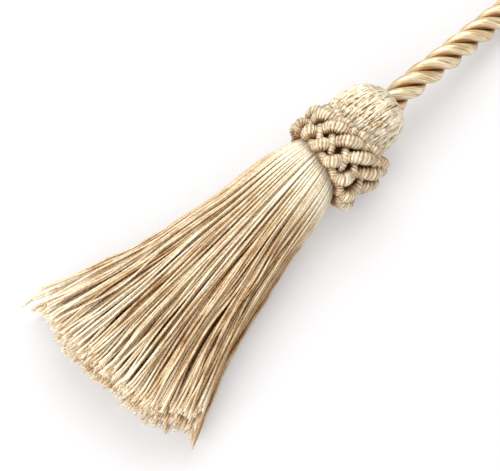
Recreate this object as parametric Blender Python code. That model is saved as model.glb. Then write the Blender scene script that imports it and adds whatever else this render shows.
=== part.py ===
"""Curtain tieback tassel, lying on a level surface.

Five solids: a skirt of cut satin strands, a knotted collar, a thread-covered head, and a
twisted rope whose far end is bound into a hanging eye. Sizes are in metres and +Z is up.
"""

import math
import random
from collections import namedtuple

import bmesh
import bpy
import numpy as np
from mathutils import Vector

# Placement: the surface is z = 0 and the tassel's axis runs along X, skirt towards -X.
AXIS_HEIGHT = 0.0132
COLLAR_X = 0.0374
AXIS_Y = 0.0082
FIT_GAP = 0.0003

# Collar: one gimp cord laid as a Turk's head knot round the neck.
COLLAR_HALF_LENGTH = 0.0073
COLLAR_LEADS = 5
COLLAR_BIGHTS = 13
GIMP_RADIUS = 0.0014
KNOT_RADIUS = 0.0110
KNOT_LIFT = 0.0013
KNOT_TURN = 0.10
WEB_RADIUS = 0.0104
RIM_RADIUS = 0.0100
BORE_RADIUS = 0.0088
BORE_MOUTH_RADIUS = 0.0095
BORE_MOUTH_DEPTH = 0.0016
COLLAR_STEPS = 78
COLLAR_ROWS = 16

# Skirt: a block of strands whose rows and columns open from the neck to the cut ends.
STRANDS_ACROSS = 20
STRANDS_DEEP = 10
ROOT_GAP = 0.014
SIDE_FALL = 0.50
TIP_ARC = 0.12
LOWER_ROWS_SHORTER = 0.07
LENGTH_JITTER = 0.06
SKIRT_SEED = 7
PLUG_RADIUS = BORE_RADIUS - FIT_GAP
NECK_LOW = AXIS_HEIGHT - PLUG_RADIUS
NECK_TOP = AXIS_HEIGHT + PLUG_RADIUS

Section = namedtuple("Section", "along half_width low top level flat drift fill wander")
SKIRT_SECTIONS = (
    #       along   half_width   low       top       level flat drift    fill  wander
    Section(-0.0073, PLUG_RADIUS, NECK_LOW, NECK_TOP, 0.50, 0.0, 0.0, 1.00, 0.0),
    Section(-0.0020, PLUG_RADIUS, NECK_LOW, NECK_TOP, 0.50, 0.0, 0.0, 1.00, 0.0),
    Section(0.0110, 0.0122, 0.0018, 0.0240, 0.48, 0.2, -0.0010, 1.00, 0.2),
    Section(0.0340, 0.0163, 0.0000, 0.0230, 0.45, 0.7, -0.0033, 0.96, 0.5),
    Section(0.0600, 0.0231, 0.0000, 0.0205, 0.42, 1.0, -0.0056, 0.88, 0.8),
    Section(0.0915, 0.0346, 0.0000, 0.0190, 0.40, 1.0, -0.0086, 0.76, 0.9),
)

# Head: a turned mould, its profile measured from the middle of the collar.
ProfilePoint = namedtuple("ProfilePoint", "along radius")
HEAD_PROFILE = (
    ProfilePoint(FIT_GAP, 0.0),
    ProfilePoint(FIT_GAP, PLUG_RADIUS),
    ProfilePoint(0.0060, PLUG_RADIUS),
    ProfilePoint(0.0082, 0.0094),
    ProfilePoint(0.0108, 0.0105),
    ProfilePoint(0.0142, 0.0110),
    ProfilePoint(0.0178, 0.0108),
    ProfilePoint(0.0206, 0.0098),
    ProfilePoint(0.0228, 0.0080),
    ProfilePoint(0.0236, 0.0063),
    ProfilePoint(0.0232, 0.0052),
    ProfilePoint(0.0200, 0.0045),
    ProfilePoint(0.0200, 0.0),
)
HEAD_STEPS = 48
FURROWS = 16
FURROW_DEPTH = 0.00025
FURROW_START = 0.0080
FURROW_END = 0.0233

# Rope: three plies laid right-handed. The route is the middle of the rope, and the lay's start is
# the share of a turn that the plies have made where they leave the head.
ROPE_RADIUS = 0.0040
VALLEY_RADIUS = 0.0027
FLANK_RADIUS = 0.0035
PLIES = 3
LAY_LENGTH = 0.0263
LAY_START = 0.20
RINGS_PER_LAY = 10
BINDING_HEIGHT = 0.0054
# Each point is the distance from the collar's middle, the distance to the side of the
# tassel's axis, and the height.
RoutePoint = namedtuple("RoutePoint", "along side height")
ROPE_ROUTE = (
    RoutePoint(0.0208, 0.0000, AXIS_HEIGHT),
    RoutePoint(0.0270, 0.0008, AXIS_HEIGHT),
    RoutePoint(0.0350, 0.0014, 0.0130),
    RoutePoint(0.0440, 0.0018, 0.0121),
    RoutePoint(0.0530, 0.0024, 0.0107),
    RoutePoint(0.0620, 0.0033, 0.0091),
    RoutePoint(0.0710, 0.0041, 0.0075),
    RoutePoint(0.0800, 0.0048, 0.0062),
    RoutePoint(0.0890, 0.0050, BINDING_HEIGHT),
    RoutePoint(0.0960, 0.0050, BINDING_HEIGHT),
    RoutePoint(0.1030, 0.0050, BINDING_HEIGHT),
    RoutePoint(0.1130, 0.0064, 0.0047),
    RoutePoint(0.1250, 0.0103, 0.0041),
    RoutePoint(0.1380, 0.0149, ROPE_RADIUS),
    RoutePoint(0.1510, 0.0175, ROPE_RADIUS),
    RoutePoint(0.1630, 0.0168, ROPE_RADIUS),
    RoutePoint(0.1730, 0.0118, ROPE_RADIUS),
    RoutePoint(0.1785, 0.0028, ROPE_RADIUS),
    RoutePoint(0.1780, -0.0072, ROPE_RADIUS),
    RoutePoint(0.1720, -0.0152, ROPE_RADIUS),
    RoutePoint(0.1620, -0.0194, ROPE_RADIUS),
    RoutePoint(0.1500, -0.0195, ROPE_RADIUS),
    RoutePoint(0.1370, -0.0163, ROPE_RADIUS),
    RoutePoint(0.1240, -0.0107, 0.0041),
    RoutePoint(0.1130, -0.0057, 0.0047),
    RoutePoint(0.1030, -0.0038, BINDING_HEIGHT),
    RoutePoint(0.0950, -0.0038, BINDING_HEIGHT),
)

# Binding: a tapered thread whipping over the two legs of the eye.
BINDING_START = 0.0855
BINDING_SHOULDER = 0.0920
BINDING_END = 0.1035
BINDING_WALL = 0.0011
BINDING_SIDES = 12


def clear_scene():
    for obj in list(bpy.data.objects):
        bpy.data.objects.remove(obj, do_unlink=True)


def make_collection(name):
    collection = bpy.data.collections.new(name)
    bpy.context.scene.collection.children.link(collection)
    return collection


def satin(name, colour, roughness):
    material = bpy.data.materials.new(name)
    material.use_nodes = True
    shader = material.node_tree.nodes["Principled BSDF"]
    shader.inputs["Base Color"].default_value = (*colour, 1.0)
    shader.inputs["Roughness"].default_value = roughness
    shader.inputs["Metallic"].default_value = 0.0
    return material


def finish_mesh(name, bm, collection, material):
    """Makes the named object from the bmesh, with its faces pointing out."""
    bmesh.ops.recalc_face_normals(bm, faces=bm.faces)
    mesh = bpy.data.meshes.new(name)
    bm.to_mesh(mesh)
    bm.free()
    mesh.materials.append(material)
    obj = bpy.data.objects.new(name, mesh)
    collection.objects.link(obj)
    return obj


def section_at(station):
    """The skirt's section at a station, which is a row number of the table or between two rows."""
    index = min(int(station), len(SKIRT_SECTIONS) - 2)
    share = station - index
    before = SKIRT_SECTIONS[index]
    after = SKIRT_SECTIONS[index + 1]
    return Section(*(a + (b - a) * share for a, b in zip(before, after)))


def hang(place):
    """Takes a place in the block of strands, (u, v, station), to where it lies.

    u runs across the skirt and v from its underside to its top, both from -1 to 1. A section
    goes from a disc at the neck to a loaf shape that lies flat on the surface at the cut ends.
    """
    u, v, station = place
    section = section_at(station)
    upper = max(v, 0.0)
    disc = Vector((u * math.sqrt(1 - v * v / 2), v * math.sqrt(1 - u * u / 2)))
    loaf = Vector((u, min(v, 0.0) + upper * (1 - SIDE_FALL * u * u)))
    across, height = disc.lerp(loaf, section.flat)
    middle = section.low + section.level * (section.top - section.low)
    reach = section.top - middle if height > 0 else middle - section.low
    return Vector((
        COLLAR_X - COLLAR_HALF_LENGTH - section.along,
        AXIS_Y + section.drift + across * section.half_width,
        middle + height * reach,
    ))


def cell_of(face):
    """The column and row of the strand that a face belongs to."""
    middle = face.calc_center_median()
    column = int((middle.x + 1) * STRANDS_ACROSS / 2)
    row = int((middle.y + 1) * STRANDS_DEEP / 2)
    return column, row


def strand_plans(roots, rng):
    """For each cell: its root's middle and corners, its drift across and up, and how much it falls short."""
    room = ROOT_GAP / 2
    plans = {}
    for face in roots:
        middle = face.calc_center_median()
        corners = [vert.co.copy() for vert in face.verts]
        drift = Vector((rng.uniform(-room, room), rng.uniform(-room, room)))
        shortfall = TIP_ARC * middle.x ** 2 + LOWER_ROWS_SHORTER * (1 - middle.y) / 2
        plans[cell_of(face)] = (middle, corners, drift, shortfall + rng.uniform(0.0, LENGTH_JITTER))
    return plans


def place_strand(face, station, plan):
    """Sets a strand's four corners at a section: thinner than its cell, and drifted within it.

    The bottom row keeps its underside on the lower edge of the block, so it rests level.
    """
    middle, corners, drift, shortfall = plan
    section = SKIRT_SECTIONS[station]
    slack = 1 - section.fill
    shift_u = section.wander * (drift.x + math.copysign(slack / STRANDS_ACROSS, drift.x))
    shift_v = section.wander * (drift.y + math.copysign(slack / STRANDS_DEEP, drift.y))
    anchor = middle.y
    if cell_of(face)[1] == 0:
        anchor = min(corner.y for corner in corners)
        shift_v = -1 - anchor
    last = station == len(SKIRT_SECTIONS) - 1
    for vert, corner in zip(face.verts, corners):
        vert.co.x = middle.x + (corner.x - middle.x) * section.fill + shift_u
        vert.co.y = anchor + (corner.y - anchor) * section.fill + shift_v
        vert.co.z = station - (shortfall if last else 0.0)


def grow_strands(bm, roots, rng):
    """Extrudes each root face into a strand through every section, still in the block's own space."""
    plans = strand_plans(roots, rng)
    faces = roots
    for station in range(2, len(SKIRT_SECTIONS)):
        faces = bmesh.ops.extrude_discrete_faces(bm, faces=faces)["faces"]
        for face in faces:
            place_strand(face, station, plans[cell_of(face)])


def make_skirt(collection):
    rng = random.Random(SKIRT_SEED)
    bm = bmesh.new()
    bmesh.ops.create_grid(bm, x_segments=STRANDS_ACROSS, y_segments=STRANDS_DEEP, size=1.0)
    roots = list(bm.faces)
    for vert in bm.verts:
        vert.co.z = 1.0
    rim = [edge for edge in bm.edges if edge.is_boundary]
    walls = bmesh.ops.extrude_edge_only(bm, edges=rim)["geom"]
    for vert in (item for item in walls if isinstance(item, bmesh.types.BMVert)):
        vert.co.z = 0.0
    back = [item for item in walls if isinstance(item, bmesh.types.BMEdge) and item.is_boundary]
    bmesh.ops.contextual_create(bm, geom=back)
    bmesh.ops.inset_individual(bm, faces=roots, thickness=ROOT_GAP)
    grow_strands(bm, roots, rng)
    for vert in bm.verts:
        vert.co = hang(vert.co)
    return finish_mesh("skirt", bm, collection, satin("skirt_satin", (0.72, 0.54, 0.33), 0.45))


def knot_path():
    """Points along the gimp cord of the knot: its angle round the neck, place along it and radius."""
    turn = np.linspace(0.0, 2 * math.pi * COLLAR_LEADS, COLLAR_BIGHTS * COLLAR_LEADS * 30, endpoint=False)
    swing = COLLAR_BIGHTS * turn / COLLAR_LEADS
    along = (COLLAR_HALF_LENGTH - GIMP_RADIUS) * np.cos(swing)
    over_under = np.cos(COLLAR_LEADS * swing) * np.tanh(4 * np.sin(swing))
    return turn + KNOT_TURN, along, KNOT_RADIUS + KNOT_LIFT * over_under


def knot_heights(angles, alongs):
    """The collar's outer radius at each angle and place along it, over the web between the cords."""
    path_angle, path_along, path_radius = knot_path()
    apart = (angles[:, None] - path_angle[None, :] + math.pi) % (2 * math.pi) - math.pi
    gap_squared = (apart * KNOT_RADIUS) ** 2 + (alongs[:, None] - path_along[None, :]) ** 2
    crown = np.sqrt(np.maximum(GIMP_RADIUS ** 2 - gap_squared, 0.0))
    tops = np.where(gap_squared < GIMP_RADIUS ** 2, path_radius[None, :] + crown, 0.0)
    share = alongs / COLLAR_HALF_LENGTH
    web = RIM_RADIUS + (WEB_RADIUS - RIM_RADIUS) * (1 - share ** 2)
    return np.maximum(tops.max(axis=1), web)


def spin_profile(bm, points, steps):
    """Turns a profile, (along, radius) points, round the X axis."""
    verts = [bm.verts.new((along, radius, 0.0)) for along, radius in points]
    edges = [bm.edges.new(pair) for pair in zip(verts, verts[1:])]
    if points[0][1] > 0:
        edges.append(bm.edges.new((verts[-1], verts[0])))
    bmesh.ops.spin(
        bm, geom=verts + edges, cent=(0, 0, 0), axis=(1, 0, 0), angle=2 * math.pi, steps=steps, use_merge=True
    )
    bmesh.ops.remove_doubles(bm, verts=bm.verts, dist=0.00001)


def make_collar(collection):
    bm = bmesh.new()
    spots = np.linspace(-COLLAR_HALF_LENGTH, COLLAR_HALF_LENGTH, COLLAR_ROWS + 1)
    inner = COLLAR_HALF_LENGTH - BORE_MOUTH_DEPTH
    profile = [(float(spot), WEB_RADIUS) for spot in spots]
    profile += [
        (COLLAR_HALF_LENGTH, BORE_MOUTH_RADIUS),
        (inner, BORE_RADIUS),
        (-inner, BORE_RADIUS),
        (-COLLAR_HALF_LENGTH, BORE_MOUTH_RADIUS),
    ]
    spin_profile(bm, profile, COLLAR_STEPS)
    outer = [v for v in bm.verts if math.hypot(v.co.y, v.co.z) > (WEB_RADIUS + BORE_MOUTH_RADIUS) / 2]
    angles = np.array([math.atan2(v.co.z, v.co.y) for v in outer])
    heights = knot_heights(angles, np.array([v.co.x for v in outer]))
    for vert, angle, height in zip(outer, angles, heights):
        vert.co.y = height * math.cos(angle)
        vert.co.z = height * math.sin(angle)
    bmesh.ops.translate(bm, verts=bm.verts, vec=(COLLAR_X, AXIS_Y, AXIS_HEIGHT))
    for vert in bm.verts:
        vert.co.z = max(vert.co.z, 0.0)
    return finish_mesh("collar", bm, collection, satin("collar_gimp", (0.70, 0.52, 0.32), 0.5))


def make_head(collection):
    bm = bmesh.new()
    spin_profile(bm, HEAD_PROFILE, HEAD_STEPS)
    for vert in bm.verts:
        if FURROW_START < vert.co.x < FURROW_END:
            angle = math.atan2(vert.co.z, vert.co.y)
            wave = math.cos(FURROWS * angle + 1.5 * math.sin(3 * angle))
            scale = 1 + wave * FURROW_DEPTH / HEAD_PROFILE[5].radius
            vert.co.y *= scale
            vert.co.z *= scale
    bmesh.ops.translate(bm, verts=bm.verts, vec=(COLLAR_X, AXIS_Y, AXIS_HEIGHT))
    return finish_mesh("head", bm, collection, satin("head_satin", (0.74, 0.57, 0.36), 0.4))


def smooth_route(points, spacing):
    """Evenly spaced points on the Catmull-Rom curve through the route."""
    ends = [2 * points[0] - points[1], *points, 2 * points[-1] - points[-2]]
    fine = []
    for p0, p1, p2, p3 in zip(ends, ends[1:], ends[2:], ends[3:]):
        for step in range(24):
            t = step / 24
            fine.append(
                0.5 * (2 * p1 + (p2 - p0) * t + (2 * p0 - 5 * p1 + 4 * p2 - p3) * t ** 2
                       + (3 * p1 - p0 - 3 * p2 + p3) * t ** 3)
            )
    fine.append(points[-1])
    lengths = np.cumsum([0.0] + [(b - a).length for a, b in zip(fine, fine[1:])])
    wanted = np.linspace(0.0, lengths[-1], round(lengths[-1] / spacing) + 1)
    columns = [np.interp(wanted, lengths, [point[axis] for point in fine]) for axis in range(3)]
    return [Vector(row) for row in zip(*columns)]


def poly_curve(name, points, collection, cyclic=False):
    curve = bpy.data.curves.new(name, "CURVE")
    curve.dimensions = "3D"
    spline = curve.splines.new("POLY")
    spline.points.add(len(points) - 1)
    for spot, point in zip(spline.points, points):
        spot.co = (*point, 1.0)
    spline.use_cyclic_u = cyclic
    obj = bpy.data.objects.new(name, curve)
    collection.objects.link(obj)
    return obj


def ply_section():
    """The rope's cross-section: one rounded lobe for each ply."""
    radii = (ROPE_RADIUS, FLANK_RADIUS, VALLEY_RADIUS, FLANK_RADIUS) * PLIES
    turn = 2 * math.pi / len(radii)
    return [(r * math.cos(turn * i), -r * math.sin(turn * i), 0.0) for i, r in enumerate(radii)]


def make_rope(collection, guides):
    points = [Vector((COLLAR_X + p.along, AXIS_Y + p.side, p.height)) for p in ROPE_ROUTE]
    route = smooth_route(points, LAY_LENGTH / RINGS_PER_LAY)
    outline = poly_curve("ply_outline", ply_section(), guides, cyclic=True)
    outline.hide_render = True
    rope = poly_curve("rope", route, collection)
    rope.data.bevel_mode = "OBJECT"
    rope.data.bevel_object = outline
    rope.data.use_fill_caps = True
    rope.data.twist_mode = "MINIMUM"
    for index, spot in enumerate(rope.data.splines[0].points):
        spot.tilt = 2 * math.pi * (LAY_START + index / RINGS_PER_LAY)
    rope.data.materials.append(satin("rope_satin", (0.73, 0.55, 0.34), 0.35))
    return rope


def ring_points(along, side):
    """A ring of the binding's outer surface round one leg of the rope."""
    radius = ROPE_RADIUS + FIT_GAP + BINDING_WALL
    centre = Vector((COLLAR_X + along, AXIS_Y + side, BINDING_HEIGHT))
    turn = 2 * math.pi / BINDING_SIDES
    return [
        centre + radius * Vector((0.0, math.cos(turn * i), math.sin(turn * i))) for i in range(BINDING_SIDES)
    ]


def make_leg_cutter(name, start, end, side, guides):
    bm = bmesh.new()
    radius = ROPE_RADIUS + FIT_GAP
    bmesh.ops.create_cone(
        bm, cap_ends=True, segments=2 * BINDING_SIDES, radius1=radius, radius2=radius, depth=end - start
    )
    cutter = finish_mesh(name, bm, guides, satin(name, (0.5, 0.5, 0.5), 0.5))
    cutter.rotation_euler = (0.0, math.pi / 2, 0.0)
    cutter.location = (COLLAR_X + (start + end) / 2, AXIS_Y + side, BINDING_HEIGHT)
    cutter.hide_render = True
    cutter.display_type = "WIRE"
    return cutter


def make_binding(collection, guides):
    """A tapered whipping: round where it grips the stem, and two legs wide at the eye."""
    stem_side = ROPE_ROUTE[9].side
    end_side = ROPE_ROUTE[-1].side
    bm = bmesh.new()
    points = ring_points(BINDING_START, stem_side)
    for along in (BINDING_SHOULDER, BINDING_END):
        for side in (stem_side, end_side):
            points += ring_points(along, side)
    verts = [bm.verts.new(point) for point in points]
    hull = bmesh.ops.convex_hull(bm, input=verts)
    loose = set(hull["geom_interior"]) | set(hull["geom_unused"])
    bmesh.ops.delete(bm, geom=[v for v in loose if isinstance(v, bmesh.types.BMVert)], context="VERTS")
    binding = finish_mesh("binding", bm, collection, satin("binding_thread", (0.68, 0.50, 0.30), 0.5))
    beyond = 0.01
    bores = (
        make_leg_cutter("stem_bore", BINDING_START - beyond, BINDING_END + beyond, stem_side, guides),
        make_leg_cutter("end_bore", ROPE_ROUTE[-1].along - FIT_GAP, BINDING_END + beyond, end_side, guides),
    )
    for cutter in bores:
        modifier = binding.modifiers.new(cutter.name, "BOOLEAN")
        modifier.operation = "DIFFERENCE"
        modifier.object = cutter
    return binding


def main():
    clear_scene()
    parts = make_collection("curtain_tieback_tassel")
    guides = make_collection("guides")
    make_skirt(parts)
    make_collar(parts)
    make_head(parts)
    make_rope(parts, guides)
    make_binding(parts, guides)


main()
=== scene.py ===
"""Looks of a curtain tieback tassel lying on a pale table.

Satin skirt yarns, a collar knotted from thread-wound gimp cord, a head covered with laid
thread, and a three-ply satin rope that ends in a bound eye. Sizes are in metres.
"""

import math

import bpy
import numpy as np
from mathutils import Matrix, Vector

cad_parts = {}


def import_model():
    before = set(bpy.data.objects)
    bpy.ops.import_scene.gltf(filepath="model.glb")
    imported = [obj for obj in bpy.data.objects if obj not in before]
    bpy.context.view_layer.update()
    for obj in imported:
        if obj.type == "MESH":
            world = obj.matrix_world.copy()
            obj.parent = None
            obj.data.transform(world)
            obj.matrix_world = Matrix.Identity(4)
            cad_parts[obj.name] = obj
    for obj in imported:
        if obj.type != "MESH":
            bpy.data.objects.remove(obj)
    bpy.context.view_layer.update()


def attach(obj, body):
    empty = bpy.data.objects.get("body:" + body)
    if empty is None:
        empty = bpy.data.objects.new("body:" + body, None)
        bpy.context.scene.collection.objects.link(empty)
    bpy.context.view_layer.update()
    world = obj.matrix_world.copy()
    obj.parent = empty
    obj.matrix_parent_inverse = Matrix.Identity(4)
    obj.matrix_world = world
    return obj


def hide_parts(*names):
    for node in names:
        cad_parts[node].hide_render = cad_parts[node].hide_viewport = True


# Placement, as in the solids: the axis runs along X, with the skirt towards -X.
COLLAR_X = 0.0374
AXIS_Y = 0.0082
AXIS_HEIGHT = 0.0132
COLLAR_HALF_LENGTH = 0.0073

# Camera, at the photograph's angle.
CAMERA_PLACE = (-0.2069, -0.2154, 0.4666)
CAMERA_TARGET = (0.0013, 0.0056, 0.0080)
PICTURE_WIDTH = 500
FOCAL_PIXELS = 1906.9
SENSOR_WIDTH = 36.0

# Light: a large soft lamp high up beyond the rope, another on the skirt's side, and a bright room.
HORIZON = (0.30, 0.297, 0.292)
OVERHEAD = (0.81, 0.805, 0.795)
HORIZON_LEVEL = -0.10
OVERHEAD_LEVEL = 0.75
ROOM_LEAN = -0.35
KEY_PLACE = (0.48, 0.47, 0.88)
KEY_SIZE = 1.15
KEY_WATTS = 9.0
KEY_COLOUR = (1.0, 0.99, 0.97)
FILL_PLACE = (-0.80, -0.10, 0.50)
FILL_SIZE = 0.8
FILL_WATTS = 8.0
FILL_COLOUR = (1.0, 0.99, 0.98)

# Table: it glows a little, so that it stays pale where no lamp shines on it.
TABLE_HALF_SIZE = 3.0
TABLE_COLOUR = (0.44, 0.44, 0.45)
TABLE_GLOW = (1.0, 0.985, 0.98)
TABLE_GLOW_LEVEL = 0.35

# Skirt: places in a section are points of a unit disc, in rings from the rim to the middle.
# Each layer names its first ring, and the rings and sides of its yarns' tubes.
YARN_RADIUS = 0.00035
YARN_PITCH_AT_NECK = 0.00056
NECK_RADIUS = 0.0088
YARN_LAYERS = (
    ("skirt_top_yarns", 0, 60, 8),
    ("skirt_middle_yarns", 2, 44, 6),
    ("skirt_inner_yarns", 6, 26, 4),
)
SMALL_LOCKS = 300
SMALL_LOCK_PULL = 0.25
SMALL_LOCK_SWAY = 0.008
LARGE_LOCKS = 34
LARGE_LOCK_PULL = 0.07
LARGE_LOCK_SWAY = 0.024
CROSSING = 0.052
WANDER = 0.024
DEPTH_WANDER = 0.045
STRAY_SHARE = 0.06
STRAY_WANDER = 0.05
YARN_BENDS = 5
YARN_DEPTH_BENDS = 11
DISC_EDGE = 0.985
ROOT_ALONG = -0.0020
LENGTH_RISE = 0.0012
LENGTH_JITTER = 0.0026
UPPER_SIDE_SHORTER = 0.0070
SIDE_FALL = 0.50
SKIRT_SEED = 23
FRAYS = 3
FRAY_LENGTH = 0.0008
FRAY_RADIUS = 0.00018
FRAY_RINGS = 4
FRAY_SIDES = 4
FRAY_SPLAY = 0.35
FRAY_OVERLAP = 0.0004

# Shades go from 0, dark, to 1, light. Skirt: the yarns' own shade and how far it spreads at the
# neck and beyond, and slow patches along a yarn. The rest is painted light and shade: a painted
# highlight on the neck with painted shade on its +Y rim, painted light on the tips and their frayed
# ends, painted shade on the -Y side, on the undersides, and more with each ring towards the middle.
YARN_SHADE = 0.66
YARN_SPREAD_AT_NECK = 0.05
YARN_SPREAD_GROWTH = 0.06
YARN_PATCHES = 0.20
NECK_PAINTED_HIGHLIGHT = 0.32
NECK_RIM_PAINTED_SHADE = 0.42
TIPS_PAINTED_LIGHT = 0.20
TIPS_RING_PAINTED_LIGHT = 0.02
SIDE_PAINTED_SHADE = 0.15
UNDERSIDE_PAINTED_SHADE = 0.20
RING_PAINTED_SHADE = 0.04
FRAY_PAINTED_LIGHT = 0.35

# Skirt lengths: the place across the skirt, from -1 to 1, and the longest yarn there.
YARN_LENGTHS = (
    (-1.0, 0.0862),
    (-0.8, 0.0836),
    (-0.6, 0.0862),
    (-0.4, 0.0896),
    (-0.1, 0.0909),
    (0.2, 0.0915),
    (0.4, 0.0916),
    (0.6, 0.0902),
    (0.8, 0.0871),
    (1.0, 0.0930),
)

# Skirt sections: distance from the collar's edge, half width, lowest and highest point, the
# level of the widest part, how flat the section is, and the drift of its middle to the side.
SECTION_NAMES = ("along", "half_width", "low", "top", "level", "flat", "drift")
SECTIONS = (
    (-0.0073, 0.0085, 0.0047, 0.0217, 0.50, 0.0, 0.0),
    (-0.0020, 0.0085, 0.0047, 0.0217, 0.50, 0.0, 0.0),
    (0.0110, 0.0125, 0.0014, 0.0240, 0.48, 0.2, -0.0013),
    (0.0340, 0.0159, 0.0, 0.0230, 0.45, 0.7, -0.0035),
    (0.0600, 0.0223, 0.0, 0.0205, 0.42, 1.0, -0.0057),
    (0.0885, 0.0336, 0.0, 0.0190, 0.40, 1.0, -0.0088),
)

# Collar: one gimp cord in a Turk's head knot, which leans towards the skirt at the top. The
# passes that run towards the head are thick and lie high; the others are thin and lie deep.
COLLAR_LEADS = 5
COLLAR_BIGHTS = 13
GIMP_RADIUS = 0.00155
GIMP_SWELL = 0.00034
LUMP_SWELL = 0.00020
KNOT_HALF_LENGTH = 0.0057
KNOT_LOOSE = 0.52
KNOT_LOOSE_ANGLE = 3.75
KNOT_SAG = 0.0017
KNOT_SIDE = -0.0009
KNOT_RISE = 0.0006
KNOT_RADIUS = 0.0111
KNOT_LIFT = 0.0010
KNOT_PASS_LIFT = 0.0006
KNOT_BARREL = 0.0006
KNOT_BEND = 0.245
KNOT_TURN = 0.333
KNOT_SHIFT = -0.0004
KNOT_LEAN = 0.0026
KNOT_LEAN_ANGLE = 2.08
KNOT_UNEVEN = 0.00030
GIMP_RINGS = 5200
GIMP_SIDES = 16
GIMP_WRAP_PITCH = 0.00070
GIMP_WRAP_STARTS = 2
GIMP_WRAP_DEPTH = 0.20
COLLAR_SEED = 3

# Collar shading: the base, and the painted light that a wrap's ridge, a high pass and the cord's
# outer side add, which leaves painted shade in the grooves, on the deep passes and on the inner
# side.
COLLAR_SHADE = -0.26
RIDGE_PAINTED_LIGHT = 0.40
HIGH_PASS_PAINTED_LIGHT = 0.16
OUTSIDE_PAINTED_LIGHT = 0.44
WRAP_UNEVEN = 0.17

# Sleeve: a wound tube below the knot, which closes in at its ends. Its dark colours are painted
# shade in the gaps between the cords.
SLEEVE_RADIUS = 0.0102
SLEEVE_RINGS = 120
SLEEVE_SIDES = 96
SLEEVE_WRAP_PITCH = 0.0005
SLEEVE_WRAP_DEPTH = 0.00006
SLEEVE_END_DROP = 0.0008

# Small loops of thinner cord that stand out of the knot: their place along the axis, the angle
# round it, and the distance from it.
LOOP_PLACES = (
    (0.0034, 3.00, 0.0131),
    (0.0056, 3.42, 0.0134),
    (-0.0088, 3.52, 0.0128),
)
LOOP_RADIUS = 0.00125
LOOP_CORD_RADIUS = 0.00085
LOOP_RINGS = 160
LOOP_SIDES = 12
LOOP_WRAPS = 11
# The loops' shade, and the painted light on their wraps' ridges, which leaves painted shade in the
# grooves.
LOOP_SHADE = 0.30
LOOP_RIDGE_PAINTED_LIGHT = 0.40

# Head: a profile of (distance from the collar's middle, radius), and the threads laid over it.
HEAD_PROFILE = (
    (0.0003, 0.0083),
    (0.0040, 0.0085),
    (0.0062, 0.0095),
    (0.0090, 0.0101),
    (0.0130, 0.0103),
    (0.0172, 0.0100),
    (0.0201, 0.0089),
    (0.0221, 0.0074),
    (0.0230, 0.0059),
    (0.0227, 0.0047),
    (0.0210, 0.0043),
)
HEAD_SIDE = 0.0013
HEAD_THREADS = 150
HEAD_THREAD_RADIUS = 0.00028
HEAD_THREAD_RINGS = 44
HEAD_THREAD_SIDES = 6
HEAD_THREAD_SWAY = 0.026
HEAD_SWAY_KNOTS = 13
HEAD_THREAD_LIFT = 0.00012
HEAD_LIFT_KNOTS = 9
HEAD_WIDEST = 0.0111
HEAD_SLANT = 0.16
HEAD_FURROWS = 16
HEAD_FURROW_DEPTH = 0.00018
HEAD_CORE_SIDES = 96
HEAD_SEED = 5

# Head shading: the threads' own shade and its spread, a painted sheen band round the head, with the
# place along the profile where it is darkest and the distance between two such places, and flecks.
HEAD_SHADE = 0.66
HEAD_SPREAD = 0.14
HEAD_PAINTED_SHEEN = 0.11
HEAD_BAND_DARKEST = 0.38
HEAD_BAND_WIDTH = 0.62
HEAD_FLECKS = 0.46
HEAD_FLECK_KNOTS = 38

# Rope: three plies laid right-handed along a route of (along, side, height). The lay's start is
# the share of a turn that the plies have made where they leave the head.
ROPE_RADIUS = 0.0040
PLIES = 3
PLY_RADIUS = 0.00192
PLY_OFFSET = 0.00230
# A core in the middle of the rope, in the darkest tone: painted shade in the gaps between the
# plies.
CORE_RADIUS = 0.0011
CORE_SIDES = 10
PLY_SIDES = 20
# Painted light on each ply's outer side, which leaves painted shade where the plies face the rope's
# middle, and the turn of that painted shade round a ply.
PLY_OUTSIDE_PAINTED_LIGHT = 0.62
PLY_PAINTED_SHADE_TURN = 0.20
PLY_RING_SPACING = 0.0005
LAY_LENGTH = 0.0263
LAY_START = 0.13
BINDING_HEIGHT = 0.0054
ROPE_ROUTE = (
    (0.0208, 0.0000, AXIS_HEIGHT),
    (0.0270, 0.0008, AXIS_HEIGHT),
    (0.0350, 0.0014, 0.0130),
    (0.0440, 0.0018, 0.0121),
    (0.0530, 0.0024, 0.0107),
    (0.0620, 0.0033, 0.0091),
    (0.0710, 0.0041, 0.0075),
    (0.0800, 0.0048, 0.0062),
    (0.0890, 0.0050, BINDING_HEIGHT),
    (0.0960, 0.0050, BINDING_HEIGHT),
    (0.1030, 0.0050, BINDING_HEIGHT),
    (0.1130, 0.0064, 0.0047),
    (0.1250, 0.0103, 0.0041),
    (0.1380, 0.0149, ROPE_RADIUS),
    (0.1510, 0.0175, ROPE_RADIUS),
    (0.1630, 0.0168, ROPE_RADIUS),
    (0.1730, 0.0118, ROPE_RADIUS),
    (0.1785, 0.0028, ROPE_RADIUS),
    (0.1780, -0.0072, ROPE_RADIUS),
    (0.1720, -0.0152, ROPE_RADIUS),
    (0.1620, -0.0194, ROPE_RADIUS),
    (0.1500, -0.0195, ROPE_RADIUS),
    (0.1370, -0.0163, ROPE_RADIUS),
    (0.1240, -0.0107, 0.0041),
    (0.1130, -0.0057, 0.0047),
    (0.1030, -0.0038, BINDING_HEIGHT),
    (0.0950, -0.0038, BINDING_HEIGHT),
)

# Binding: thread wound over the two legs of the eye, tapered down to the stem. Its shade, and the
# painted light on the wraps' ridges, which leaves painted shade in their grooves.
BINDING_START = 0.0855
BINDING_SHOULDER = 0.0925
BINDING_END = 0.1035
BINDING_RADIUS = 0.0053
BINDING_WRAP_PITCH = 0.00060
BINDING_WRAP_DEPTH = 0.00008
BINDING_RINGS = 180
BINDING_SIDES = 48
BINDING_SHADE = 0.48
BINDING_WRAP_PAINTED_SHADE = 0.34


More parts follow.
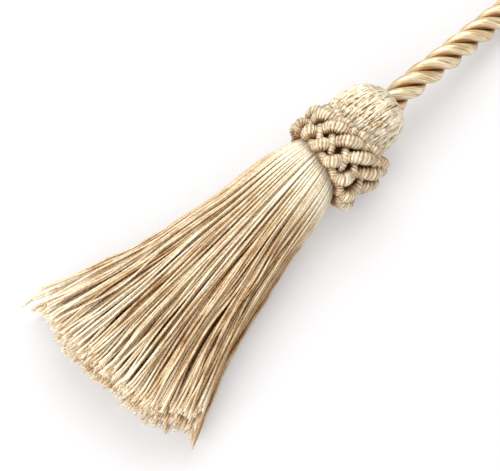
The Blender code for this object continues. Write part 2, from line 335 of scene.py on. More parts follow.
def unit(vectors):
    return vectors / np.linalg.norm(vectors, axis=-1, keepdims=True)


def smooth_step(low, high, value):
    share = np.clip((value - low) / (high - low), 0.0, 1.0)
    return share * share * (3 - 2 * share)


def catmull_rom(points, steps):
    """Points of the smooth curve through the given rows, with the given steps between two rows."""
    points = np.asarray(points, float)
    ends = np.vstack([2 * points[:1] - points[1:2], points, 2 * points[-1:] - points[-2:-1]])
    t = (np.arange(steps) / steps)[None, :, None]
    p0, p1, p2, p3 = (ends[i:len(ends) - 3 + i, None, :] for i in range(4))
    curve = 0.5 * (
        2 * p1 + (p2 - p0) * t + (2 * p0 - 5 * p1 + 4 * p2 - p3) * t ** 2
        + (3 * p1 - p0 - 3 * p2 + p3) * t ** 3
    )
    return np.vstack([curve.reshape(-1, points.shape[1]), points[-1:]])


def evenly(curve, count):
    """The curve again, with its points an equal distance apart."""
    steps = np.linalg.norm(np.diff(curve, axis=0), axis=1)
    lengths = np.concatenate([[0.0], np.cumsum(steps)])
    wanted = np.linspace(0.0, lengths[-1], count)
    return np.stack([np.interp(wanted, lengths, column) for column in curve.T], axis=1)


def slow_noise(rng, shape, knots):
    """Smooth random curves from -1 to 1 along the last axis, with the given number of knots."""
    coarse = rng.uniform(-1.0, 1.0, (*shape[:-1], knots))
    place = np.linspace(0.0, knots - 1.001, shape[-1])
    index = place.astype(int)
    share = place - index
    share = share * share * (3 - 2 * share)
    return coarse[..., index] * (1 - share) + coarse[..., index + 1] * share


def sweep(centres, reference, radii, sides):
    """Points round each tube: (tube, ring, side, xyz). reference is a direction across the tube."""
    tangent = unit(np.gradient(centres, axis=1))
    reference = np.broadcast_to(reference, centres.shape)
    along = np.sum(reference * tangent, axis=-1, keepdims=True)
    across = unit(reference - along * tangent)
    other = np.cross(tangent, across)
    angle = np.arange(sides) * 2 * math.pi / sides
    ring = (
        across[:, :, None, :] * np.cos(angle)[None, None, :, None]
        + other[:, :, None, :] * np.sin(angle)[None, None, :, None]
    )
    if radii.ndim == 2:
        radii = radii[:, :, None]
    return centres[:, :, None, :] + ring * radii[..., None]


def distance_along(centres):
    steps = np.linalg.norm(np.diff(centres, axis=1), axis=-1)
    return np.concatenate([np.zeros((len(centres), 1)), np.cumsum(steps, axis=1)], axis=1)


def tube_object(name, points, along, tone, material, closed=False):
    """One mesh of many tubes. Its UV map holds the share round a tube and the millimetres along
    it, and the attribute "tone" gives each tube, or each of its points, its shade, painted light
    and shade included."""
    tubes, rings, sides, _ = points.shape
    index = np.arange(tubes * rings * sides).reshape(tubes, rings, sides)
    upper = np.roll(index, -1, axis=1)
    last = rings if closed else rings - 1
    lower, upper = index[:, :last], upper[:, :last]
    quads = np.stack([lower, np.roll(lower, -1, 2), np.roll(upper, -1, 2), upper], axis=-1)
    faces = quads.reshape(-1, 4).tolist()
    spans = np.broadcast_to(np.arange(sides) / sides, (tubes, last, sides))
    here = np.broadcast_to(along[:, :last, None], spans.shape)
    step = np.concatenate([along[:, 1:], along[:, -1:] + along[:, 1:2] - along[:, :1]], axis=1)
    there = np.broadcast_to(step[:, :last, None], spans.shape)
    right = spans + 1.0 / sides
    corners = [(spans, here), (right, here), (right, there), (spans, there)]
    uv = np.stack([np.stack(pair, axis=-1) for pair in corners], axis=-2).reshape(-1, 2)
    if not closed:
        faces += index[:, 0, ::-1].tolist() + index[:, -1].tolist()
        for ring in (0, -1):
            cap = np.stack([spans[:, 0], np.repeat(along[:, ring, None], sides, axis=1)], axis=-1)
            uv = np.vstack([uv, cap.reshape(-1, 2)])
    mesh = bpy.data.meshes.new(name)
    mesh.from_pydata(points.reshape(-1, 3).tolist(), [], faces)
    uv[:, 1] *= 1000.0
    layer = mesh.uv_layers.new(name="UVMap")
    layer.data.foreach_set("uv", uv.astype(np.float32).ravel())
    shade = mesh.attributes.new("tone", "FLOAT", "POINT")
    shade.data.foreach_set("value", np.broadcast_to(tone, index.shape).astype(np.float32).ravel())
    mesh.shade_smooth()
    mesh.materials.append(material)
    obj = bpy.data.objects.new(name, mesh)
    bpy.context.scene.collection.objects.link(obj)
    return obj


def node_chain(material):
    """Returns short helpers that add and join nodes in the material's tree."""
    tree = material.node_tree

    def add(kind, inputs=(), **settings):
        node = tree.nodes.new(kind)
        for key, value in settings.items():
            setattr(node, key, value)
        for socket, value in dict(inputs).items():
            target = node.inputs[socket]
            if isinstance(value, bpy.types.NodeSocket):
                tree.links.new(value, target)
            else:
                target.default_value = value
        return node

    def maths(operation, first, second=0.0):
        return add("ShaderNodeMath", {0: first, 1: second}, operation=operation).outputs[0]

    return tree, add, maths


def satin(name, dark, middle, light, roughness, streaks, twist=None, bump=0.35, gloss=0.4,
          grain=0.5, shine=0.6):
    """Satin thread in three colours. streaks are the noise's scales round and along the thread,
    per turn and per millimetre, and grain is how far the noise goes towards dark and light. gloss
    is the metallic share, shine the level of clear reflection, and twist, if given, the number of
    plies and their pitch in millimetres."""
    material = bpy.data.materials.new(name)
    material.use_nodes = True
    tree, add, maths = node_chain(material)
    shader = tree.nodes["Principled BSDF"]
    place = add("ShaderNodeUVMap", uv_map="UVMap").outputs[0]
    split = add("ShaderNodeSeparateXYZ", {0: place})
    around, along = split.outputs[0], split.outputs[1]
    tone = add("ShaderNodeAttribute", attribute_name="tone").outputs["Fac"]
    if twist:
        plies, pitch = twist
        wound = maths("MULTIPLY", along, 1.0 / pitch)
        around = maths("FRACT", maths("ADD", maths("MULTIPLY", around, plies), wound))
    fold = maths("ABSOLUTE", maths("SUBTRACT", around, 0.5))
    cell = add(
        "ShaderNodeCombineXYZ",
        {0: maths("MULTIPLY", fold, streaks[0]), 1: maths("MULTIPLY", along, streaks[1]),
         2: maths("MULTIPLY", tone, 37.0)},
    ).outputs[0]
    fibre = add(
        "ShaderNodeTexNoise", {"Vector": cell, "Scale": 1.0, "Detail": 3.0, "Roughness": 0.6},
    )
    speckle = maths("MULTIPLY", maths("SUBTRACT", fibre.outputs["Fac"], 0.5), grain)
    ramp = add("ShaderNodeValToRGB", {0: maths("ADD", tone, speckle)})
    stops = ramp.color_ramp.elements
    stops[0].position, stops[0].color = 0.05, (*dark, 1.0)
    stops[1].position, stops[1].color = 0.95, (*light, 1.0)
    centre = stops.new(0.5)
    centre.color = (*middle, 1.0)
    height = fibre.outputs["Fac"]
    if twist:
        round_ply = maths("SINE", maths("MULTIPLY", around, math.pi))
        height = maths("ADD", maths("MULTIPLY", height, 0.5), round_ply)
    relief = add("ShaderNodeBump", {"Height": height, "Strength": bump, "Distance": 0.0001})
    tree.links.new(ramp.outputs[0], shader.inputs["Base Color"])
    tree.links.new(relief.outputs[0], shader.inputs["Normal"])
    tangent = add("ShaderNodeTangent", direction_type="UV_MAP", uv_map="UVMap")
    tree.links.new(tangent.outputs[0], shader.inputs["Tangent"])
    shader.inputs["Metallic"].default_value = gloss
    shader.inputs["Roughness"].default_value = roughness
    shader.inputs["Anisotropic"].default_value = 0.6
    shader.inputs["Anisotropic Rotation"].default_value = 0.0
    shader.inputs["Specular IOR Level"].default_value = shine
    return material


def section_columns(along):
    """The skirt section's columns at each distance from the collar's edge."""
    table = catmull_rom(SECTIONS, 24)
    columns = zip(SECTION_NAMES, table.T)
    return {name: np.interp(along, table[:, 0], column) for name, column in columns}


def disc_to_square(x, y):
    """Takes points of the unit disc to the square whose rows and columns the sections use."""
    root2 = 2 * math.sqrt(2)
    u_sum = 2 + x * x - y * y
    v_sum = 2 - x * x + y * y
    u = np.sqrt(np.maximum(u_sum + root2 * x, 0)) - np.sqrt(np.maximum(u_sum - root2 * x, 0))
    v = np.sqrt(np.maximum(v_sum + root2 * y, 0)) - np.sqrt(np.maximum(v_sum - root2 * y, 0))
    return u / 2, v / 2


def hang(x, y, along):
    """Takes points of the disc to where they lie in the skirt, at each distance from the collar."""
    u, v = disc_to_square(x, y)
    column = section_columns(along)
    loaf_v = np.where(v > 0, v * (1 - SIDE_FALL * u * u), v)
    across = x + (u - x) * column["flat"]
    height = y + (loaf_v - y) * column["flat"]
    middle = column["low"] + column["level"] * (column["top"] - column["low"])
    reach = np.where(height > 0, column["top"] - middle, middle - column["low"])
    return np.stack(
        [
            COLLAR_X - COLLAR_HALF_LENGTH - along,
            AXIS_Y + column["drift"] + across * column["half_width"],
            middle + height * reach,
        ],
        axis=-1,
    )


def yarn_roots(rng):
    """Places of the yarns in the unit disc, and the ring that each belongs to, from the rim in."""
    places = []
    ring = 0
    radius = NECK_RADIUS - YARN_RADIUS
    while radius > YARN_PITCH_AT_NECK:
        count = int(2 * math.pi * radius / YARN_PITCH_AT_NECK)
        step = 2 * math.pi / count
        angle = (np.arange(count) + rng.uniform(-0.35, 0.35, count) + rng.uniform(0, 1)) * step
        reach = (radius + rng.uniform(-0.15, 0.15, count) * YARN_PITCH_AT_NECK) / NECK_RADIUS
        x, y = reach * np.cos(angle), reach * np.sin(angle)
        places.append(np.stack([x, y, np.full(count, ring)], axis=1))
        radius -= YARN_PITCH_AT_NECK * 0.9
        ring += 1
    return np.vstack(places)


def pull_to_locks(x, y, locks, pull, sway, rng):
    """Draws each yarn's place in the disc towards the nearest of some random points, and lets
    the yarns of one such lock sway sideways together."""
    angle = rng.uniform(0, 2 * math.pi, locks)
    reach = np.sqrt(rng.uniform(0.05, 1.0, locks))
    lock_x, lock_y = reach * np.cos(angle), reach * np.sin(angle)
    nearest = np.argmin((x[:, :1] - lock_x) ** 2 + (y[:, :1] - lock_y) ** 2, axis=1)
    drift = slow_noise(rng, (locks, x.shape[1]), YARN_BENDS)[nearest] * sway
    return (
        x + (lock_x[nearest][:, None] - x[:, :1]) * pull + drift,
        y + (lock_y[nearest][:, None] - y[:, :1]) * pull,
    )


def yarn_length(x, y, rng):
    """Yarns are shorter at the corners, shorter still on the upper side there, and uneven."""
    places, lengths = zip(*YARN_LENGTHS)
    upper = smooth_step(-0.3, 0.6, y) * smooth_step(0.5, 1.0, np.abs(x))
    uneven = rng.uniform(-1.0, 0.35, len(x)) * LENGTH_JITTER
    return np.interp(x, places, lengths) + LENGTH_RISE * y - upper * UPPER_SIDE_SHORTER + uneven


def yarn_paths(roots, rings, rng):
    """The middle of each yarn: it follows its lock, crosses others and ends at its own length."""
    count = len(roots)
    share = np.linspace(0.0, 1.0, rings)[None, :]
    x, y = (roots[:, i:i + 1] + 0 * share for i in (0, 1))
    spread = smooth_step(0.12, 0.65, share)
    x, y = pull_to_locks(x, y, LARGE_LOCKS, LARGE_LOCK_PULL * spread, LARGE_LOCK_SWAY * spread, rng)
    x, y = pull_to_locks(x, y, SMALL_LOCKS, SMALL_LOCK_PULL * spread, SMALL_LOCK_SWAY * spread, rng)
    stray = rng.uniform(size=(count, 1)) < STRAY_SHARE
    grow = smooth_step(0.05, 1.0, share) * np.where(stray, STRAY_WANDER, WANDER)
    cross = CROSSING * smooth_step(-0.2, 1.2, share)
    shape = (count, rings)
    x = x + slow_noise(rng, shape, YARN_BENDS) * grow + rng.standard_normal((count, 1)) * cross
    y = y + slow_noise(rng, shape, YARN_BENDS) * grow + rng.standard_normal((count, 1)) * cross
    depth = 1 - DEPTH_WANDER * spread * (1 + slow_noise(rng, shape, YARN_DEPTH_BENDS)) / 2
    limit = np.maximum(np.hypot(x, y) / DISC_EDGE, 1.0)
    x, y = x / limit, y / limit * depth
    length = yarn_length(x[:, -1], y[:, -1], rng)
    along = ROOT_ALONG + share * (length[:, None] - ROOT_ALONG)
    centres = hang(x, y, along)
    centres[..., 2] = np.maximum(centres[..., 2], YARN_RADIUS)
    return centres


def make_yarns(name, roots, rings, sides, material, rng):
    centres = yarn_paths(roots, rings, rng)
    share = np.linspace(0.0, 1.0, rings)[None, :]
    radii = YARN_RADIUS * (1.06 - 0.12 * np.sin(math.pi * share)) * np.ones((len(roots), 1))
    points = sweep(centres, (0.0, 0.0, 1.0), radii, sides)
    side, ring = roots[:, :1], roots[:, 2:3]
    spread = YARN_SPREAD_AT_NECK + YARN_SPREAD_GROWTH * smooth_step(0.1, 0.6, share)
    own = YARN_SHADE + rng.standard_normal((len(roots), 1)) * spread
    patchy = YARN_PATCHES * slow_noise(rng, (len(roots), rings), rings // 2)
    # Painted highlight on the neck, with painted shade on its +Y rim.
    rim = NECK_RIM_PAINTED_SHADE * smooth_step(0.35, 0.95, side)
    neck = (1 - smooth_step(0.04, 0.34, share)) * (NECK_PAINTED_HIGHLIGHT - rim)
    # Painted light on the tips, more on the inner rings.
    tips = (TIPS_PAINTED_LIGHT + TIPS_RING_PAINTED_LIGHT * ring) * smooth_step(0.80, 1.0, share)
    # Painted shade on the -Y side.
    dim = SIDE_PAINTED_SHADE * smooth_step(0.1, 0.9, -side) * smooth_step(0.1, 0.4, share)
    # Painted shade with each ring towards the middle.
    tone = own + patchy + neck + tips - dim - RING_PAINTED_SHADE * ring
    # Painted shade on each yarn's underside.
    underside = UNDERSIDE_PAINTED_SHADE * (1 - np.cos(np.arange(sides) * 2 * math.pi / sides))
    shade = tone[..., None] - underside * smooth_step(0.0, 0.45, share)[..., None]
    shade = np.clip(shade, 0.0, 1.0)
    obj = tube_object(name, points, distance_along(centres), shade, material)
    return obj, centres, tone


def make_frays(name, centres, tone, material, rng):
    """Short filaments that splay from the yarns' cut ends."""
    tips = np.repeat(centres[:, -1], FRAYS, axis=0)
    forward = unit(np.repeat(centres[:, -1] - centres[:, -2], FRAYS, axis=0))
    splay = rng.uniform(-FRAY_SPLAY, FRAY_SPLAY, tips.shape)
    share = np.linspace(0.0, 1.0, FRAY_RINGS)[None, :, None]
    reach = FRAY_LENGTH * rng.uniform(0.4, 1.0, (len(tips), 1, 1))
    start = tips - forward * FRAY_OVERLAP + splay * YARN_RADIUS * 1.6
    paths = start[:, None, :] + (forward[:, None, :] + splay[:, None, :] * share) * share * reach
    paths[..., 2] = np.maximum(paths[..., 2], FRAY_RADIUS)
    radii = FRAY_RADIUS * (1 - 0.5 * share[..., 0]) * np.ones((len(tips), 1))
    points = sweep(paths, (0.0, 0.0, 1.0), radii, FRAY_SIDES)
    # Painted light on the frayed ends.
    shade = np.clip(np.repeat(tone[:, -1], FRAYS) + FRAY_PAINTED_LIGHT, 0.0, 1.0)
    return tube_object(name, points, distance_along(paths), shade[:, None, None], material)


def make_skirt():
    rng = np.random.default_rng(SKIRT_SEED)
    yarn = satin(
        "skirt_yarn", (0.27, 0.085, 0.006), (0.66, 0.485, 0.285), (0.93, 0.865, 0.70),
        roughness=0.55, streaks=(5.0, 1.3), twist=(2, 2.2), bump=0.7, gloss=0.16, shine=0.08,
        grain=1.3,
    )
    roots = yarn_roots(rng)
    first_rings = [layer[1] for layer in YARN_LAYERS] + [math.inf]
    pieces, ends, tones = [], [], []
    for (name, first, rings, sides), beyond in zip(YARN_LAYERS, first_rings[1:]):
        layer = roots[(roots[:, 2] >= first) & (roots[:, 2] < beyond)]
        piece, centres, tone = make_yarns(name, layer, rings, sides, yarn, rng)
        pieces.append(piece)
        ends.append(centres[:, -2:])
        tones.append(tone[:, -2:])
    pieces.append(make_frays("skirt_frayed_ends", np.vstack(ends), np.vstack(tones), yarn, rng))
    for piece in pieces:
        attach(piece, "root")
        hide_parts("skirt")


def around_axis(along, angle, radius):
    """Places at a distance along the tassel's axis, an angle round it and a radius from it."""
    along, angle, radius = np.broadcast_arrays(along, angle, radius)
    across, up = radius * np.cos(angle), radius * np.sin(angle)
    return np.stack([COLLAR_X + along, AXIS_Y + across, AXIS_HEIGHT + up], axis=-1)


def looseness(angle):
    """How loose the knot is round the collar: 1 low on the side that sags, 0 opposite."""
    return (1 + np.cos(angle - KNOT_LOOSE_ANGLE)) / 2


def knot_reach(angle):
    """Half the length of the knot, which is longer where it is loose."""
    return KNOT_HALF_LENGTH * (1 + KNOT_LOOSE * looseness(angle))


def knot_shift(angle):
    """How far the knot's middle lies towards the head; at the top it leans to the skirt."""
    return KNOT_SHIFT - KNOT_LEAN * np.cos(angle - KNOT_LEAN_ANGLE)


def knot_path(turn):
    """The gimp's middle, its radius, how high it lies (0 to 1) and the outward direction."""
    swing = COLLAR_BIGHTS * turn / COLLAR_LEADS
    level = np.cos(swing)
    high = np.tanh(4 * np.sin(swing))
    uneven = np.sin(3 * turn + 1.0) + np.sin(np.outer((1.4, 3.4, 4.6), turn) + 2.2).sum(axis=0)
    angle = turn + KNOT_TURN - KNOT_BEND * (1 - level ** 2)
    along = level * knot_reach(angle) + knot_shift(angle)
    over = -np.cos(COLLAR_LEADS * swing) * high
    radius = KNOT_RADIUS + KNOT_LIFT * over - KNOT_PASS_LIFT * high - KNOT_BARREL * level ** 4
    radius = radius + KNOT_SAG * looseness(angle) ** 2
    along = along + KNOT_UNEVEN * uneven / 2
    centres = around_axis(along, angle, radius + KNOT_UNEVEN * uneven / 4)
    centres += (0.0, KNOT_SIDE, KNOT_RISE)
    outward = around_axis(0.0, angle, 1.0) - (COLLAR_X, AXIS_Y, AXIS_HEIGHT)
    thick = GIMP_RADIUS - GIMP_SWELL * high + LUMP_SWELL * over
    centres[..., 2] = np.maximum(centres[..., 2], thick)
    return centres, thick, (over + 1) / 2, outward


def make_collar():
    turn = np.linspace(0.0, 2 * math.pi * COLLAR_LEADS, GIMP_RINGS, endpoint=False)
    centres, thick, height, outward = knot_path(turn)
    path = distance_along(centres[None])
    wraps = round(path[0, -1] / GIMP_WRAP_PITCH)
    side = np.arange(GIMP_SIDES) * 2 * math.pi / GIMP_SIDES
    phase = 2 * math.pi * wraps * np.arange(GIMP_RINGS)[:, None] / GIMP_RINGS
    ridge = np.abs(np.cos((phase + GIMP_WRAP_STARTS * side) / 2))
    radii = thick[:, None] * (1 - GIMP_WRAP_DEPTH + GIMP_WRAP_DEPTH * ridge)
    points = sweep(centres[None], outward[None], radii[None], GIMP_SIDES)
    rng = np.random.default_rng(COLLAR_SEED)
    uneven = WRAP_UNEVEN * slow_noise(rng, (1, GIMP_RINGS), GIMP_RINGS // 4)[0][:, None]
    # Painted light on the cord's outer side, painted shade on its inner side.
    outside_painted_light = OUTSIDE_PAINTED_LIGHT * smooth_step(-0.2, 0.9, np.cos(side)[None, :])
    # Painted light on the wraps' ridges and the high passes, painted shade in the grooves and deep
    # passes.
    tone = COLLAR_SHADE + RIDGE_PAINTED_LIGHT * ridge + HIGH_PASS_PAINTED_LIGHT * height[:, None] + outside_painted_light
    tone = np.maximum(tone + uneven, 0.0)
    gimp = satin(
        "collar_gimp", (0.17, 0.050, 0.006), (0.59, 0.45, 0.27), (0.96, 0.90, 0.73),
        roughness=0.23, streaks=(5.0, 2.5), bump=0.8, grain=1.5,
    )
    knot = tube_object("collar_knot", points, path, tone[None], gimp, closed=True)
    for piece in (knot, make_loops(gimp), make_sleeve()):
        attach(piece, "root")
        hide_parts("collar")


def make_loops(gimp):
    """Wound rings that show where small bights of the cord stand out of the knot."""
    along, angle, distance = np.array(LOOP_PLACES).T[:, :, None]
    turn = np.linspace(0.0, 2 * math.pi, LOOP_RINGS, endpoint=False)[None, :]
    outward = around_axis(0.0, angle, 1.0) - (COLLAR_X, AXIS_Y, AXIS_HEIGHT)
    rounds = LOOP_RADIUS * np.sin(turn) / distance
    centres = around_axis(along + LOOP_RADIUS * np.cos(turn), angle + rounds, distance)
    centres += (0.0, KNOT_SIDE, KNOT_RISE)
    centres[..., 2] = np.maximum(centres[..., 2], LOOP_CORD_RADIUS)
    ridge = np.abs(np.cos(LOOP_WRAPS * turn))
    radii = LOOP_CORD_RADIUS * (1 - GIMP_WRAP_DEPTH + GIMP_WRAP_DEPTH * ridge) + 0 * along
    points = sweep(centres, outward, radii, LOOP_SIDES)
    # Painted light on the wraps' ridges, painted shade in their grooves.
    tone = (LOOP_SHADE + LOOP_RIDGE_PAINTED_LIGHT * ridge + 0 * along)[..., None]
    return tube_object("collar_loops", points, distance_along(centres), tone, gimp, closed=True)


def make_sleeve():
    """The wound sleeve between the cords of the knot, which leans as they do; dark, as painted
    shade.
    """
    share = np.linspace(-1.0, 1.0, SLEEVE_RINGS)
    angle = np.arange(SLEEVE_SIDES) * 2 * math.pi / SLEEVE_SIDES
    along = share[:, None] * knot_reach(angle)[None, :]
    ridge = SLEEVE_WRAP_DEPTH * np.cos(2 * math.pi * along / SLEEVE_WRAP_PITCH)
    radius = SLEEVE_RADIUS + ridge - SLEEVE_END_DROP * share[:, None] ** 6
    points = around_axis(along + knot_shift(angle)[None, :], angle[None, :], radius)[None]
    # Dark colours: painted shade in the gaps between the cords.
    dark = satin(
        "collar_sleeve_painted_shade", (0.10, 0.035, 0.012), (0.22, 0.095, 0.038), (0.40, 0.21, 0.10),
        roughness=0.6, streaks=(60.0, 2.0), bump=0.2,
    )
    travelled = (1 + share[None]) * KNOT_HALF_LENGTH
    return tube_object("collar_sleeve_painted_shade", points, travelled, 0.5, dark)


def head_bulge(profile):
    """The share of the head's shift to the side: 0 at the profile's two ends and 1 halfway."""
    return np.sin(math.pi * np.linspace(0.0, 1.0, len(profile)))


def make_head():
    rng = np.random.default_rng(HEAD_SEED)
    profile = evenly(catmull_rom(HEAD_PROFILE, 16), HEAD_THREAD_RINGS)
    share = np.linspace(0.0, 1.0, HEAD_THREAD_RINGS)[None, :]
    count = HEAD_THREADS
    start = (np.arange(count) + rng.uniform(-0.3, 0.3, count)) * 2 * math.pi / count
    shape = (count, HEAD_THREAD_RINGS)
    sway = slow_noise(rng, shape, HEAD_SWAY_KNOTS) * HEAD_THREAD_SWAY
    angle = start[:, None] + HEAD_SLANT * share + sway
    lift = slow_noise(rng, shape, HEAD_LIFT_KNOTS) * HEAD_THREAD_LIFT
    radius = profile[None, :, 1] + HEAD_THREAD_RADIUS + lift
    furrow = HEAD_FURROW_DEPTH * np.cos(HEAD_FURROWS * angle + 1.5 * np.sin(3 * angle))
    centres = around_axis(profile[None, :, 0] + 0 * angle, angle, radius + furrow)
    centres[..., 1] += HEAD_SIDE * head_bulge(profile)
    round_axis = np.stack([0 * angle, -np.sin(angle), np.cos(angle)], axis=-1)
    girth = 0.75 + 0.45 * profile[None, :, 1] / HEAD_WIDEST
    radii = HEAD_THREAD_RADIUS * girth * np.ones((count, 1))
    points = sweep(centres, round_axis, radii, HEAD_THREAD_SIDES)
    flecks = HEAD_FLECKS * slow_noise(rng, shape, HEAD_FLECK_KNOTS)
    # Painted sheen: a light band round the head, between darker ones nearer the collar and at the
    # rope.
    band = -HEAD_PAINTED_SHEEN * np.cos(2 * math.pi * (share - HEAD_BAND_DARKEST) / HEAD_BAND_WIDTH)
    own = HEAD_SHADE + HEAD_SPREAD * rng.standard_normal((count, 1))
    tone = np.clip(own + band + flecks, 0.0, 1.0)
    thread = satin(
        "head_thread", (0.30, 0.15, 0.050), (0.71, 0.575, 0.38), (0.94, 0.88, 0.72),
        roughness=0.27, streaks=(4.0, 0.9), twist=(2, 1.8), bump=0.7,
    )
    threads = tube_object("head_threads", points, distance_along(centres), tone[..., None], thread)
    core = make_head_core(profile)
    for piece in (threads, core):
        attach(piece, "root")
        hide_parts("head")


def make_head_core(profile):
    """The padded mould under the threads; its dark colours are painted shade between them."""
    angle = np.arange(HEAD_CORE_SIDES) * 2 * math.pi / HEAD_CORE_SIDES
    points = around_axis(profile[:, None, 0], angle[None, :], profile[:, None, 1])[None]
    points[..., 1] += HEAD_SIDE * head_bulge(profile)[:, None]
    # Dark colours: painted shade between the threads.
    shade = satin(
        "head_underlay_painted_shade", (0.24, 0.12, 0.05), (0.42, 0.26, 0.13), (0.58, 0.40, 0.23),
        roughness=0.6, streaks=(90.0, 0.4), bump=0.2,
    )
    along = distance_along(np.concatenate([profile, profile[:, :1] * 0], axis=1)[None])
    return tube_object("head_core", points, along, 0.5, shade)


def rope_route(spacing):
    """The rope's middle, evenly spaced, in the frame of the part."""
    curve = catmull_rom(ROPE_ROUTE, 24) + (COLLAR_X, AXIS_Y, 0.0)
    length = np.linalg.norm(np.diff(curve, axis=0), axis=1).sum()
    return evenly(curve, round(length / spacing) + 1), length


def make_rope(binding):
    route, length = rope_route(PLY_RING_SPACING)
    tangent = unit(np.gradient(route, axis=0))
    up = np.array([0.0, 0.0, 1.0])
    across = unit(up - np.sum(up * tangent, axis=1, keepdims=True) * tangent)
    other = np.cross(tangent, across)
    travelled = np.linspace(0.0, length, len(route))
    turns = LAY_START + travelled / LAY_LENGTH + np.arange(PLIES)[:, None] / PLIES
    angle = 2 * math.pi * turns[..., None]
    outward = across * np.cos(angle) + other * np.sin(angle)
    centres = route + PLY_OFFSET * outward
    centres[..., 2] = np.maximum(centres[..., 2], PLY_RADIUS)
    radii = np.full(centres.shape[:2], PLY_RADIUS)
    points = sweep(centres, outward, radii, PLY_SIDES)
    ply_satin = satin(
        "rope_satin", (0.28, 0.09, 0.012), (0.67, 0.50, 0.27), (0.93, 0.85, 0.62),
        roughness=0.24, streaks=(22.0, 0.12), bump=0.9, gloss=0.45, grain=2.2,
    )
    side = np.arange(PLY_SIDES) * 2 * math.pi / PLY_SIDES
    # Painted light on each ply's outer side, painted shade where it faces the rope's middle.
    tone = PLY_OUTSIDE_PAINTED_LIGHT * smooth_step(-0.40, 0.55, np.cos(side + PLY_PAINTED_SHADE_TURN))[None, None, :]
    rope = tube_object("rope_plies", points, distance_along(centres), tone, ply_satin)
    # A core in the darkest tone: painted shade in the gaps between the plies.
    core_radii = np.full((1, len(route)), CORE_RADIUS)
    core_points = sweep(route[None], across[None], core_radii, CORE_SIDES)
    core = tube_object("rope_core_painted_shade", core_points, distance_along(route[None]), 0.0, ply_satin)
    for piece in (rope, core):
        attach(piece, "root")
        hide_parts("rope")


def make_binding():
    """Rings of a shape that goes from round, over the stem, to two legs wide, at the eye."""
    along = np.linspace(BINDING_START, BINDING_END, BINDING_RINGS)
    widen = smooth_step(BINDING_START, BINDING_SHOULDER, along)
    stem, end = ROPE_ROUTE[9][1], ROPE_ROUTE[-1][1]
    wrap = BINDING_WRAP_DEPTH * np.cos(2 * math.pi * along / BINDING_WRAP_PITCH)
    rounding = np.sqrt(np.clip((along - BINDING_START) / 0.001, 0.25, 1.0))
    rounding = rounding * np.sqrt(np.clip((BINDING_END - along) / 0.001, 0.6, 1.0))
    radius = BINDING_RADIUS * rounding - BINDING_WRAP_DEPTH + wrap
    angle = np.arange(BINDING_SIDES) * 2 * math.pi / BINDING_SIDES
    shift = np.where(np.cos(angle) < 0, end - stem, 0.0)[None, :] * widen[:, None]
    y = AXIS_Y + stem + shift + radius[:, None] * np.cos(angle)
    z = BINDING_HEIGHT + radius[:, None] * np.sin(angle)
    x = np.broadcast_to(COLLAR_X + along[:, None], y.shape)
    points = np.stack([x, y, z], axis=-1)[None]
    thread = satin(
        "binding_thread", (0.20, 0.085, 0.03), (0.66, 0.475, 0.28), (0.90, 0.77, 0.55),
        roughness=0.38, streaks=(3.0, 3.0), bump=0.3,
    )
    # Painted light on the wraps' ridges, painted shade in their grooves.
    tone = BINDING_SHADE + BINDING_WRAP_PAINTED_SHADE * wrap / BINDING_WRAP_DEPTH
    travelled = along[None] - along[0]
    binding = tube_object("binding_wraps", points, travelled, tone[None, :, None], thread)
    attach(binding, "root")
    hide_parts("binding")
    return binding


def make_camera():
    data = bpy.data.cameras.new("camera")
    data.sensor_width = SENSOR_WIDTH
    data.lens = FOCAL_PIXELS * SENSOR_WIDTH / PICTURE_WIDTH
    data.clip_start = 0.01
    camera = bpy.data.objects.new("camera", data)
    camera.location = CAMERA_PLACE
    look = Vector(CAMERA_TARGET) - Vector(CAMERA_PLACE)
    camera.rotation_euler = look.to_track_quat("-Z", "Y").to_euler()
    bpy.context.scene.collection.objects.link(camera)
    bpy.context.scene.camera = camera


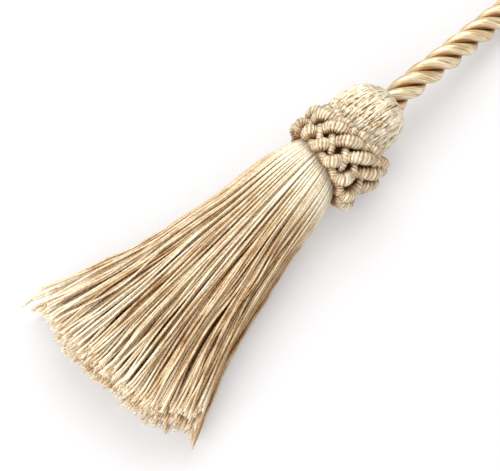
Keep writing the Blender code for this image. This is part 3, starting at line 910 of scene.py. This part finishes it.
def area_light(name, place, size, watts, colour):
    """A round lamp that shines on the middle of the part."""
    data = bpy.data.lights.new(name, "AREA")
    data.shape = "DISK"
    data.size = size
    data.energy = watts
    data.color = colour
    light = bpy.data.objects.new(name, data)
    light.location = place
    light.rotation_euler = (-Vector(place)).to_track_quat("-Z", "Y").to_euler()
    bpy.context.scene.collection.objects.link(light)


def light_room():
    """A room that is bright overhead and darker towards the horizon, most of all towards +Y."""
    world = bpy.data.worlds.new("soft_room")
    world.use_nodes = True
    tree, add, maths = node_chain(world)
    direction = add("ShaderNodeTexCoord").outputs["Generated"]
    split = add("ShaderNodeSeparateXYZ", {0: direction})
    level = maths("ADD", split.outputs[2], maths("MULTIPLY", split.outputs[1], ROOM_LEAN))
    span = OVERHEAD_LEVEL - HORIZON_LEVEL
    share = maths("DIVIDE", maths("SUBTRACT", level, HORIZON_LEVEL), span)
    ramp = add("ShaderNodeValToRGB", {0: share})
    stops = ramp.color_ramp.elements
    stops[0].color = (*HORIZON, 1.0)
    stops[1].color = (*OVERHEAD, 1.0)
    tree.links.new(ramp.outputs[0], tree.nodes["Background"].inputs["Color"])
    bpy.context.scene.world = world


def make_stage():
    mesh = bpy.data.meshes.new("table_top")
    size = TABLE_HALF_SIZE
    corners = [(-size, -size, 0), (size, -size, 0), (size, size, 0), (-size, size, 0)]
    mesh.from_pydata(corners, [], [(0, 1, 2, 3)])
    floor = bpy.data.objects.new("table_top", mesh)
    bpy.context.scene.collection.objects.link(floor)
    material = bpy.data.materials.new("pale_table")
    material.use_nodes = True
    shader = material.node_tree.nodes["Principled BSDF"]
    shader.inputs["Base Color"].default_value = (*TABLE_COLOUR, 1.0)
    shader.inputs["Roughness"].default_value = 0.85
    shader.inputs["Specular IOR Level"].default_value = 0.2
    shader.inputs["Emission Color"].default_value = (*TABLE_GLOW, 1.0)
    shader.inputs["Emission Strength"].default_value = TABLE_GLOW_LEVEL
    mesh.materials.append(material)
    light_room()
    area_light("key", KEY_PLACE, KEY_SIZE, KEY_WATTS, KEY_COLOUR)
    area_light("fill", FILL_PLACE, FILL_SIZE, FILL_WATTS, FILL_COLOUR)
    bpy.context.scene.view_settings.view_transform = "Standard"


def main():
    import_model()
    make_camera()
    make_rope(make_binding())
    make_skirt()
    make_collar()
    make_head()
    make_stage()


main()
